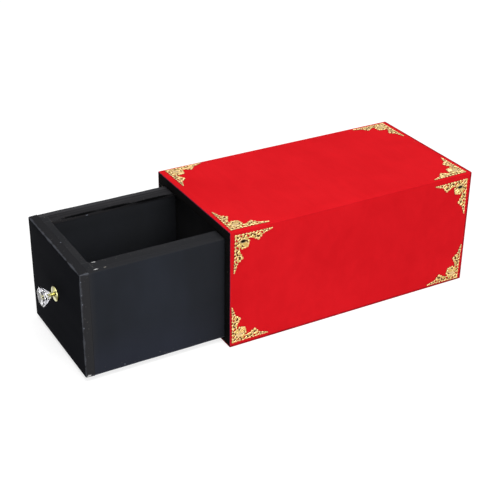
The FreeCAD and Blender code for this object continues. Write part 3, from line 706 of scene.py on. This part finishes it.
filigree = {
    "cell": 0.2, "leg": 36.3, "sheet": 0.20, "relief": 0.68, "barHalf": 0.75,
    # strokes of the outline: along the leg, inwards and half width, in mm
    "arm": [(1.3, 1.3, 1.3), (4.0, 2.6, 2.0), (10.0, 2.9, 2.3), (16.0, 3.0, 2.4), (21.0, 3.7, 3.1),
            (24.0, 3.3, 2.7), (27.5, 1.9, 1.45), (31.5, 1.5, 1.05), (35.6, 0.75, 0.6)],
    "leaf": [(2.0, 2.0, 1.6), (6.0, 6.0, 3.4), (9.4, 9.4, 3.6), (12.4, 12.4, 1.35)],
    # lobes of the outline: along, inwards, radius
    "lobes": [(1.15, 1.15, 1.15), (4.4, 1.1, 1.05), (8.0, 0.95, 0.95), (11.2, 0.85, 0.85),
              (14.9, 1.0, 1.0), (18.1, 0.85, 0.85), (21.4, 0.95, 0.95), (24.9, 0.85, 0.85),
              (27.9, 0.8, 0.8), (30.9, 0.65, 0.65), (33.3, 0.6, 0.6), (35.7, 0.55, 0.55),
              (11.6, 5.6, 1.5), (13.6, 7.8, 1.3), (12.9, 10.3, 1.5), (17.6, 5.1, 1.1), (20.3, 6.4, 1.4),
              (22.9, 7.5, 1.6), (25.3, 5.7, 1.1), (27.6, 3.4, 0.9), (30.6, 2.5, 0.75), (33.0, 1.8, 0.6)],
    # openings: along, inwards, half length, half width, tilt in degrees, bend, and 1 where pierced
    "openings": [(2.9, 3.0, 1.1, 0.7, 45, 0.2, 0), (6.0, 2.2, 1.5, 0.62, 40, 0.3, 1),
                 (8.5, 3.7, 1.1, 0.5, -30, -0.3, 0), (9.8, 1.8, 1.25, 0.6, -35, 0.3, 0),
                 (12.8, 3.0, 1.8, 0.82, 42, -0.2, 1), (16.1, 2.6, 1.6, 0.75, -42, 0.25, 0),
                 (19.0, 3.3, 1.45, 0.7, 35, 0.25, 0), (19.7, 1.3, 0.9, 0.4, -20, 0.2, 0),
                 (22.5, 2.2, 1.3, 0.68, -35, 0.3, 1), (22.6, 5.4, 1.6, 0.95, 20, -0.25, 0),
                 (20.0, 5.4, 0.7, 0.4, 40, 0.0, 0), (25.9, 2.6, 1.5, 0.62, 34, 0.2, 1),
                 (29.0, 1.8, 1.1, 0.5, -30, 0.2, 0), (27.6, 1.0, 0.5, 0.3, 30, 0.0, 0),
                 (31.8, 1.4, 1.0, 0.42, 25, 0.2, 0), (5.4, 4.9, 0.7, 0.45, -45, 0.2, 0),
                 (11.9, 8.0, 1.5, 0.36, 42, 0.2, 0)],
    # the leaf's hollow: along, inwards, half length, half width
    "hollow": (8.1, 7.1, 3.9, 2.2), "hollowSlope": 2.0, "hollowShare": 0.35,
    # veins: along and inwards at the start and at the end
    "veins": [(9.6, 9.6, 12.2, 12.2), (10.8, 8.6, 12.6, 9.4), (11.0, 6.8, 13.0, 7.6), (4.4, 0.3, 4.5, 1.5),
              (14.6, 0.3, 14.6, 1.4), (22.9, 7.2, 23.1, 8.6), (24.6, 4.6, 25.4, 6.0)],
    "veinHalf": 0.36, "veinShare": 0.5,
    # how the grid's edge is drawn in to the outline: rounds, step that finds the slope, least slope squared
    "drawIn": (3, 0.02, 0.3), "farAway": 9.0, "sharpDegrees": 60,
}


def strokeDepth(x, y, line):
    # how deep a point lies inside a stroke whose half width changes evenly between the line's points
    line = np.array(line)
    start, step = line[:-1, :2], np.diff(line[:, :2], axis=0)
    offset = np.stack([x, y], -1)[..., None, :] - start
    share = np.clip((offset * step).sum(-1) / (step ** 2).sum(-1), 0, 1)
    half = line[:-1, 2] + np.diff(line[:, 2]) * share
    return (half - np.linalg.norm(offset - share[..., None] * step, axis=-1)).max(-1)


def cornerRelief(x, y):
    # Depth inside the metal, height of the relief and share of the leaf's hollow at x, y in mm. The outline
    # is the union of strokes and lobes, mirrored over the diagonal. Openings are bent ellipses. The bars
    # between them are domed: the height is a quarter circle of the distance to the nearest edge. Veins and
    # the hollow, an ellipse on one side only that deepens evenly to its middle, are pressed into it.
    outline = strokeDepth(x, y, filigree["leaf"])
    pierced, pressed, vein = (np.full(x.shape, filigree["farAway"]) for _ in range(3))
    for u, v in ((x, y), (y, x)):
        outline = np.maximum(outline, strokeDepth(u, v, filigree["arm"]))
        for along, inwards, radius in filigree["lobes"]:
            outline = np.maximum(outline, radius - np.hypot(u - along, v - inwards))
        for along, inwards, long, wide, tilt, bend, through in filigree["openings"]:
            turn = math.radians(tilt)
            lengthwise = (u - along) * math.cos(turn) + (v - inwards) * math.sin(turn)
            across = (v - inwards) * math.cos(turn) - (u - along) * math.sin(turn)
            across = across - bend * (lengthwise ** 2 - long ** 2 / 3)
            away = (np.hypot(lengthwise / long, across / wide) - 1) * wide
            if through:
                pierced = np.minimum(pierced, away)
            else:
                pressed = np.minimum(pressed, away)
        for fromAlong, fromInwards, toAlong, toInwards in filigree["veins"]:
            line = [(fromAlong, fromInwards, 0.0), (toAlong, toInwards, 0.0)]
            vein = np.minimum(vein, -strokeDepth(u, v, line))
    depth = np.minimum(outline, pierced)
    near = np.clip(np.minimum(depth, pressed) / filigree["barHalf"], 0, 1)
    groove = 1 - filigree["veinShare"] * np.clip(1 - vein / filigree["veinHalf"], 0, 1)
    along, inwards, long, wide = filigree["hollow"]
    inside = 1 - np.hypot((x - along) / long, (y - inwards) / wide)
    hollow = np.clip(filigree["hollowSlope"] * inside, 0, 1)
    height = np.sqrt(1 - (1 - near) ** 2) * groove * (1 - filigree["hollowShare"] * hollow)
    return depth, height, hollow


def stampedSheet():
    # A fine grid over the outline, raised by the relief. Grid points just outside are drawn in along the
    # slope of the depth until they lie on the outline, so the edge is smooth. A flat back and walls along
    # the open edges close it.
    cell, leg = filigree["cell"], filigree["leg"]
    line = np.arange(0, leg + 2 * cell, cell)
    x, y = np.meshgrid(line, line, indexing="ij")
    depth, height, hollow = cornerRelief(x, y)
    x, y, depth, height, hollow = (v.ravel() for v in (x, y, depth, height, hollow))
    quads = gridFaces(len(line), len(line))
    triangles = np.concatenate([quads[:, [0, 1, 2]], quads[:, [0, 2, 3]]])
    triangles = triangles[(depth[triangles] > 0).any(1)]
    used = np.unique(triangles)
    edge = used[depth[used] <= 0]
    ex, ey = x[edge], y[edge]
    rounds, step, leastSlope = filigree["drawIn"]
    for _ in range(rounds):
        here = cornerRelief(ex, ey)[0]
        slopeX = (cornerRelief(ex + step, ey)[0] - here) / step
        slopeY = (cornerRelief(ex, ey + step)[0] - here) / step
        push = np.clip(-here / np.maximum(slopeX ** 2 + slopeY ** 2, leastSlope), -cell, cell)
        ex, ey = ex + push * slopeX, ey + push * slopeY
    x[edge], y[edge], height[edge] = ex, ey, 0
    names = np.full(len(x), -1)
    names[used] = np.arange(len(used))
    x, y, height, hollow, triangles = x[used], y[used], height[used], hollow[used], names[triangles]
    count = len(used)
    sides = np.concatenate([triangles[:, [0, 1]], triangles[:, [1, 2]], triangles[:, [2, 0]]])
    rimSides = sides[~np.isin(sides[:, 0] * count + sides[:, 1], sides[:, 1] * count + sides[:, 0])]
    start, end = rimSides.T
    walls = np.concatenate([np.stack([end, start, start + count], 1),
                            np.stack([end, start + count, end + count], 1)])
    faces = np.concatenate([triangles, triangles[:, ::-1] + count, walls])
    top = filigree["sheet"] + filigree["relief"] * height
    flat = np.zeros(count)
    points = np.concatenate([np.stack([x, y, top], 1), np.stack([x, y, flat], 1)])
    return points * mm, faces, np.concatenate([height, flat]), np.concatenate([hollow, flat])


sheetPoints, sheetFaces, sheetRelief, sheetHollow = stampedSheet()
wordWays = {"left": (0, -1), "right": (0, 1), "front": (1, -1), "rear": (1, 1), "lower": (2, -1),
            "upper": (2, 1), "top": (2, 1)}    # the axis that each word means and the way along it


def placeCorner(nodeName):
    # The plain corner's outer point and its two leg tips give the place and the turn on the face. The
    # sheet's first two measures run along the legs and the third stands out of the face.
    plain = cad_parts[nodeName].data
    spots = np.zeros(len(plain.vertices) * 3)
    plain.vertices.foreach_get("co", spots)
    spots = spots.reshape(-1, 3)
    words = nodeName.split("_")[1:]
    faceAxis, faceSign = wordWays[words[0]]
    ways = [wordWays[word] for word in words[1:]]
    inwards = [-sign * spots[:, axis] for axis, sign in ways]
    point = spots[(inwards[0] + inwards[1]).argmin()]
    legs = [spots[way.argmax()] - point for way in inwards]
    points = np.zeros_like(sheetPoints)
    for column, leg in enumerate(legs):
        leg[faceAxis] = 0
        points += sheetPoints[:, [column]] * leg / np.linalg.norm(leg)
    points += point
    points[:, faceAxis] = (spots[:, faceAxis] * faceSign).min() * faceSign + faceSign * sheetPoints[:, 2]
    corner = makePiece(joinedName("stamped", *words), points, sheetFaces, stampedMaterial, "case",
                       [nodeName], filigree["sharpDegrees"])
    # the upper corners get a painted dark reflection in the leaf's hollow, the others a little blackening
    hollowDarkShare = brass["upperHollow"] if "upper" in words else brass["otherHollow"]
    for label, values in (("relief", sheetRelief), ("blackening", sheetHollow * hollowDarkShare)):
        corner.data.attributes.new(label, "FLOAT", "POINT").data.foreach_set("value", values)


for nodeName in sorted(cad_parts):
    if nodeName.startswith("ornament_"):
        placeCorner(nodeName)
print("stamped corners made:", len(sheetFaces), "faces each")

knob = {
    "footRim": 6.7, "footEdge": 2.0, "edgeRound": 0.9, "waist": 1.3, "cup": 3.0, "waistReach": 3.4,
    "cupReach": 5.8, "cupLip": 0.25, "dish": 5.4, "dishEdge": 0.625, "post": 0.9, "postReach": 10.6,
    "postRound": 0.3, "hollowReach": 1.6, "hollowFall": 1.7, "flare": 1.8, "sides": 96,
    # points on the rim's round, the hollow curve, the flare and the lip
    "steps": (6, 24, 16, 7),
    # rings of the cut crystal: reach, radius, corners; all are turned by the same angle
    "rings": [(14.2, 7.0, 8), (13.0, 8.9, 8), (12.2, 8.9, 8), (8.2, 5.2, 8), (5.6, 2.8, 8)],
    "ringTurn": math.radians(22.5), "footSharp": 50, "crystalSharp": 3, "facetTurn": math.radians(1),
}


def aroundKnob(reach, radius, angle):
    # points at a reach out of the drawer's front and a radius about the knob's axis, both in mm
    low, high = np.array(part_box("knob_foot"))
    middle = (low + high) / 2
    return np.stack(np.broadcast_arrays(middle[0] + radius * np.cos(angle) * mm, high[1] - reach * mm,
                                        middle[2] + radius * np.sin(angle) * mm), -1)


def turnedFoot():
    # A profile of reach and radius turned about the knob's axis: a flat flange with a rolled rim, a hollow
    # curve that falls as a power of the way down to the waist, a flare up to the cup, a shallow dish and
    # the post that holds the crystal.
    rim, edge, bevel, waist, waistReach, cup, cupReach, lip, post, postReach, postRound = (
        knob[key] for key in ("footRim", "footEdge", "edgeRound", "waist", "waistReach", "cup", "cupReach",
                              "cupLip", "post", "postReach", "postRound"))
    corner, fall, flare, lipTurn = (np.linspace(0, whole, count)[1:] for whole, count in
                                    zip((math.pi / 2, 1, 1, math.pi), knob["steps"]))
    reach = np.concatenate([[0, 0, edge - bevel], edge - bevel + bevel * np.sin(corner),
                            edge + (waistReach - edge) * fall ** knob["hollowReach"],
                            waistReach + (cupReach - lip - waistReach) * flare,
                            cupReach - lip + lip * np.sin(lipTurn), [knob["dish"]] * 2,
                            [postReach - postRound, postReach, postReach]])
    radius = np.concatenate([[0, rim, rim], rim - bevel + bevel * np.cos(corner),
                             waist + (rim - bevel - waist) * (1 - fall) ** knob["hollowFall"],
                             waist + (cup - waist) * flare ** knob["flare"],
                             cup - lip + lip * np.cos(lipTurn),
                             [cup - knob["dishEdge"], post, post, post - postRound, 0]])
    angle = np.linspace(0, 2 * math.pi, knob["sides"], endpoint=False)
    points = aroundKnob(reach[:, None], radius[:, None], angle)
    makePiece("turnedFoot", points, gridFaces(*points.shape[:2], ring=True), turnedMaterial, "show_drawer",
              ["knob_foot"], knob["footSharp"], weldReach)


def crystalHead():
    # Rings of corners about the knob's axis, for the table, the crown, the girdle's two edges and the
    # pavilion's foot, with flat facets between them.
    points = [aroundKnob(reach, radius, np.arange(corners) * 2 * math.pi / corners + knob["ringTurn"])
              for reach, radius, corners in knob["rings"]]
    makePiece("cutCrystalHead", np.concatenate(points), [], crystalMaterial, "show_drawer",
              ["knob_crystal"], knob["crystalSharp"], facetTurn=knob["facetTurn"])


turnedFoot()
crystalHead()
print("knob made")

studio = {
    "floorTones": ((0.42, 0.42, 0.42, 1.0), (0.44, 0.44, 0.44, 1.0)), "grainSize": 40.0, "floorGlow": 0.75,
    "nearFloor": 0.6, "farFloor": 2.2, "floorHalf": 6.0, "floorDrop": 0.2 * mm, "skyForDiffuse": 0.18,
    "plain": {"Roughness": 0.9, "Specular IOR Level": 0.0, "Emission Color": (1, 1, 1, 1)},
    # softboxes: place, aim, size in metres, power in watts
    "softboxes": {"overhead": ((0.35, -0.10, 1.9), (0.0, -0.05, 0.05), 1.5, 29.0),
                  "sideways": ((2.0, -0.22, 0.75), (0.0, -0.05, 0.05), 1.3, 25.0)},
}


def rayShare(tree):
    # 1 where the camera, a reflection or a refraction looks, else 0
    path = addNode(tree, "LightPath").outputs
    seen = calc(tree, "MAXIMUM", path["Is Camera Ray"], path["Is Glossy Ray"])
    return calc(tree, "MAXIMUM", seen, path["Is Transmission Ray"])


def paleFloor():
    # a square a little below the object, so that the two don't share a plane; its glow grows outwards
    material, tree, shader, place = newMaterial("paleFloor")
    grain = noise(tree, place, studio["grainSize"])
    finishShader(tree, shader, studio, blendColour(tree, grain, *studio["floorTones"]))
    away = vectorCalc(tree, "LENGTH", place)
    glow = remap(tree, away, studio["nearFloor"], studio["farFloor"], studio["floorGlow"], 1.0)
    putIn(tree, shader.inputs["Emission Strength"], times(tree, rayShare(tree), glow))
    mesh = bpy.data.meshes.new("floor")
    half = studio["floorHalf"]
    mesh.from_pydata([(-half, -half, 0), (half, -half, 0), (half, half, 0), (-half, half, 0)], [],
                     [(0, 1, 2, 3)])
    floor = bpy.data.objects.new("floor", mesh)
    floor.location.z = -studio["floorDrop"]
    bpy.context.scene.collection.objects.link(floor)
    dress(floor, material)


def whiteSky():
    world = bpy.data.worlds.new("studioWorld")
    bpy.context.scene.world = world
    world.use_nodes = True
    tree = world.node_tree
    background = tree.nodes["Background"]
    background.inputs["Color"].default_value = (1, 1, 1, 1)
    strength = calc(tree, "MAXIMUM", rayShare(tree), studio["skyForDiffuse"])
    tree.links.new(strength, background.inputs["Strength"])


def softbox(name, place, aim, size, power):
    lamp = bpy.data.lights.new(name, "AREA")
    lamp.shape = "SQUARE"
    lamp.size = size
    lamp.energy = power
    box = bpy.data.objects.new(name, lamp)
    box.location = place
    box.rotation_euler = (Vector(aim) - Vector(place)).to_track_quat("-Z", "Y").to_euler()
    bpy.context.scene.collection.objects.link(box)


paleFloor()
whiteSky()
for lampName, lampValues in studio["softboxes"].items():
    softbox(lampName, *lampValues)
bpy.context.scene.view_settings.view_transform = "Standard"

viewPoint = {"place": (0.7967, -0.5258, 0.5530), "heading": 60.073, "down": 28.801, "roll": 0.761,
             "lens": 83.327, "film": 36.0, "clip": (0.01, 50.0)}


def placeCamera():
    # The heading turns from looking along +Y towards -X, and the roll lifts the view's right side.
    heading, down, roll = (math.radians(viewPoint[key]) for key in ("heading", "down", "roll"))
    turn = (Matrix.Rotation(heading, 4, "Z") @ Matrix.Rotation(math.pi / 2 - down, 4, "X")
            @ Matrix.Rotation(roll, 4, "Z"))
    camera = bpy.data.cameras.new("camera")
    camera.lens, camera.sensor_width = viewPoint["lens"], viewPoint["film"]
    camera.clip_start, camera.clip_end = viewPoint["clip"]
    eye = bpy.data.objects.new("camera", camera)
    eye.matrix_world = Matrix.Translation(viewPoint["place"]) @ turn
    bpy.context.scene.collection.objects.link(eye)
    bpy.context.scene.camera = eye


placeCamera()
print("studio and camera set")
